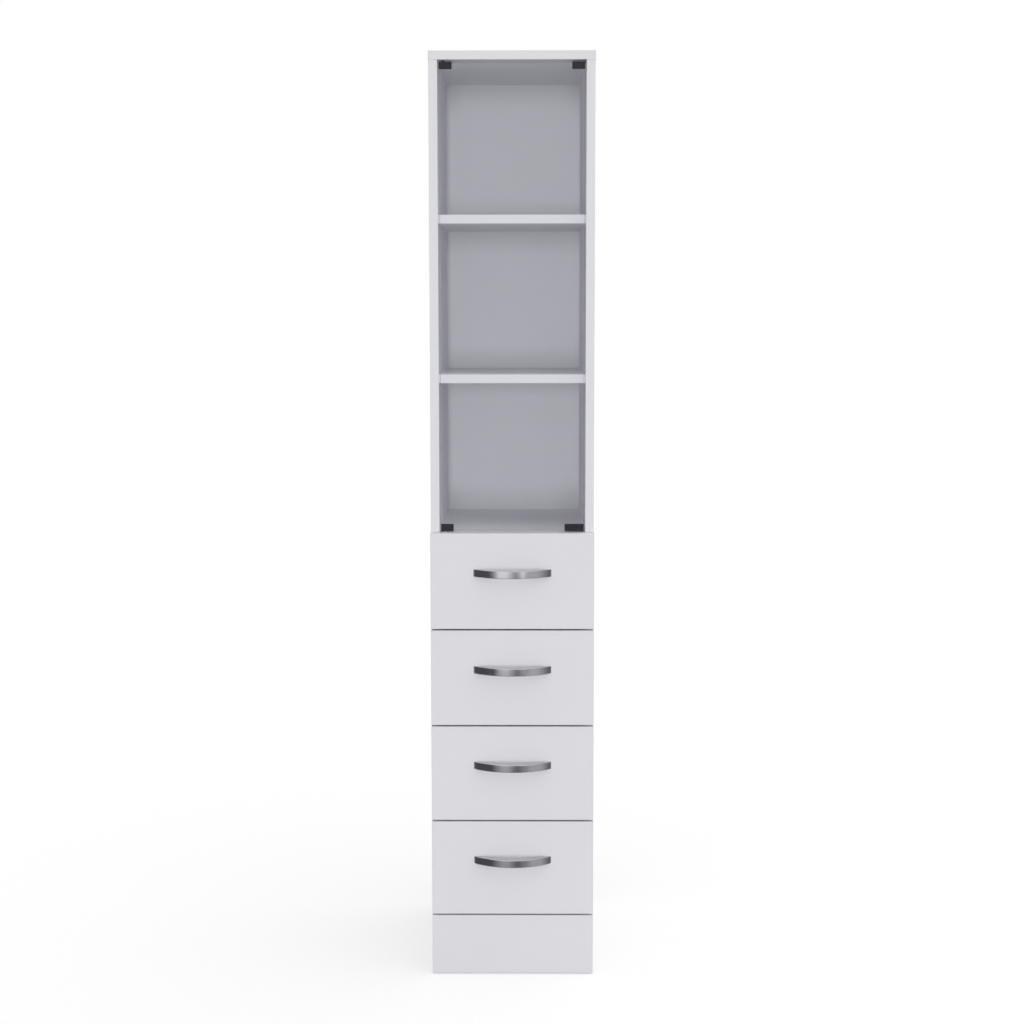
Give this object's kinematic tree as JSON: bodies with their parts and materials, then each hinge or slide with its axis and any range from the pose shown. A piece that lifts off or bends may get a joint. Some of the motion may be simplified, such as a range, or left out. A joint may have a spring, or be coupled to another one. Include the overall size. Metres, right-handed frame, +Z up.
{
  "type": "linen cabinet",
  "caption": "Tall narrow white linen cabinet with a clear glass door over shelves, and drawers with bow handles on roller runners above a plinth.",
  "frame": {"origin": "on the floor, under the middle of the bounding box, handles included", "axes": "+Z up, -Y out of the front, +X to the right as seen from the front"},
  "size_m": [0.3, 0.43, 1.7],
  "materials": {
    "melamine": "white melamine-faced board, satin",
    "hardboard": "hardboard sheet, white lacquered on the side that shows",
    "clear_glass": "clear, polished edges",
    "clip_black": "satin black die casting",
    "handle_chrome": "satin chrome casting",
    "runner_steel": "white epoxy coat on bent steel",
    "nylon": "natural white nylon",
    "glide_plastic": "dark plastic",
    "beech": "plain beech",
    "magnet": "ferrite magnet with steel poles"
  },
  "bodies": {
    "cabinet": {"left_side_panel": "melamine", "right_side_panel": "melamine", "top_panel": "melamine", "divider_panel": "melamine", "lower_shelf": "melamine", "upper_shelf": "melamine", "bottom_panel": "melamine", "plinth_board": "melamine", "back_panel": "hardboard", "plinth_blocks": "beech", "wood_dowels": "beech", "floor_glides": "glide_plastic", "hinge_bushes": "nylon", "catch_housing": "nylon", "catch_magnet": "magnet", "left_cabinet_runners": "runner_steel", "right_cabinet_runners": "runner_steel"},
    "door": {"door_glass": "clear_glass", "upper_hinge_clip": "clip_black", "lower_hinge_clip": "clip_black", "strike_clip": "clip_black", "pull_clip": "clip_black"},
    "drawer_1": {"drawer_1_front": "melamine", "drawer_1_left_side": "melamine", "drawer_1_right_side": "melamine", "drawer_1_back": "melamine", "drawer_1_bottom": "hardboard", "drawer_1_handle": "handle_chrome", "drawer_1_runners": "runner_steel"},
    "drawer_1_front_rollers": {"drawer_1_front_rollers": "nylon"},
    "drawer_1_rear_rollers": {"drawer_1_rear_rollers": "nylon"},
    "drawer_2": {"drawer_2_front": "melamine", "drawer_2_left_side": "melamine", "drawer_2_right_side": "melamine", "drawer_2_back": "melamine", "drawer_2_bottom": "hardboard", "drawer_2_handle": "handle_chrome", "drawer_2_runners": "runner_steel"},
    "drawer_2_front_rollers": {"drawer_2_front_rollers": "nylon"},
    "drawer_2_rear_rollers": {"drawer_2_rear_rollers": "nylon"},
    "drawer_3": {"drawer_3_front": "melamine", "drawer_3_left_side": "melamine", "drawer_3_right_side": "melamine", "drawer_3_back": "melamine", "drawer_3_bottom": "hardboard", "drawer_3_handle": "handle_chrome", "drawer_3_runners": "runner_steel"},
    "drawer_3_front_rollers": {"drawer_3_front_rollers": "nylon"},
    "drawer_3_rear_rollers": {"drawer_3_rear_rollers": "nylon"},
    "drawer_4": {"drawer_4_front": "melamine", "drawer_4_left_side": "melamine", "drawer_4_right_side": "melamine", "drawer_4_back": "melamine", "drawer_4_bottom": "hardboard", "drawer_4_handle": "handle_chrome", "drawer_4_runners": "runner_steel"},
    "drawer_4_front_rollers": {"drawer_4_front_rollers": "nylon"},
    "drawer_4_rear_rollers": {"drawer_4_rear_rollers": "nylon"}
  },
  "joints": [
    {"name": "door_hinge", "type": "hinge", "parent": "cabinet", "child": "door", "pos_m": [-0.123, -0.16, 1.2585], "axis": [0, 0, -1], "range_deg": [0, 110]},
    {"name": "drawer_1_slide", "type": "slide", "parent": "cabinet", "child": "drawer_1", "axis": [0, -1, 0], "range_m": [0, 0.25]},
    {"name": "drawer_1_front_rollers_spin", "type": "hinge", "parent": "cabinet", "child": "drawer_1_front_rollers", "pos_m": [0, -0.154, 0.6843], "axis": [1, 0, 0], "continuous": true},
    {"name": "drawer_1_rear_rollers_spin", "type": "hinge", "parent": "drawer_1", "child": "drawer_1_rear_rollers", "pos_m": [0, 0.172, 0.6843], "axis": [1, 0, 0], "continuous": true},
    {"name": "drawer_2_slide", "type": "slide", "parent": "cabinet", "child": "drawer_2", "axis": [0, -1, 0], "range_m": [0, 0.25]},
    {"name": "drawer_2_front_rollers_spin", "type": "hinge", "parent": "cabinet", "child": "drawer_2_front_rollers", "pos_m": [0, -0.154, 0.5043], "axis": [1, 0, 0], "continuous": true},
    {"name": "drawer_2_rear_rollers_spin", "type": "hinge", "parent": "drawer_2", "child": "drawer_2_rear_rollers", "pos_m": [0, 0.172, 0.5043], "axis": [1, 0, 0], "continuous": true},
    {"name": "drawer_3_slide", "type": "slide", "parent": "cabinet", "child": "drawer_3", "axis": [0, -1, 0], "range_m": [0, 0.25]},
    {"name": "drawer_3_front_rollers_spin", "type": "hinge", "parent": "cabinet", "child": "drawer_3_front_rollers", "pos_m": [0, -0.154, 0.3243], "axis": [1, 0, 0], "continuous": true},
    {"name": "drawer_3_rear_rollers_spin", "type": "hinge", "parent": "drawer_3", "child": "drawer_3_rear_rollers", "pos_m": [0, 0.172, 0.3243], "axis": [1, 0, 0], "continuous": true},
    {"name": "drawer_4_slide", "type": "slide", "parent": "cabinet", "child": "drawer_4", "axis": [0, -1, 0], "range_m": [0, 0.25]},
    {"name": "drawer_4_front_rollers_spin", "type": "hinge", "parent": "cabinet", "child": "drawer_4_front_rollers", "pos_m": [0, -0.154, 0.1443], "axis": [1, 0, 0], "continuous": true},
    {"name": "drawer_4_rear_rollers_spin", "type": "hinge", "parent": "drawer_4", "child": "drawer_4_rear_rollers", "pos_m": [0, 0.172, 0.1443], "axis": [1, 0, 0], "continuous": true}
  ],
  "couplings": [
    {"joint": "drawer_1_front_rollers_spin", "follows": "drawer_1_slide", "rad_per_m": 125},
    {"joint": "drawer_1_rear_rollers_spin", "follows": "drawer_1_slide", "rad_per_m": 125},
    {"joint": "drawer_2_front_rollers_spin", "follows": "drawer_2_slide", "rad_per_m": 125},
    {"joint": "drawer_2_rear_rollers_spin", "follows": "drawer_2_slide", "rad_per_m": 125},
    {"joint": "drawer_3_front_rollers_spin", "follows": "drawer_3_slide", "rad_per_m": 125},
    {"joint": "drawer_3_rear_rollers_spin", "follows": "drawer_3_slide", "rad_per_m": 125},
    {"joint": "drawer_4_front_rollers_spin", "follows": "drawer_4_slide", "rad_per_m": 125},
    {"joint": "drawer_4_rear_rollers_spin", "follows": "drawer_4_slide", "rad_per_m": 125}
  ]
}
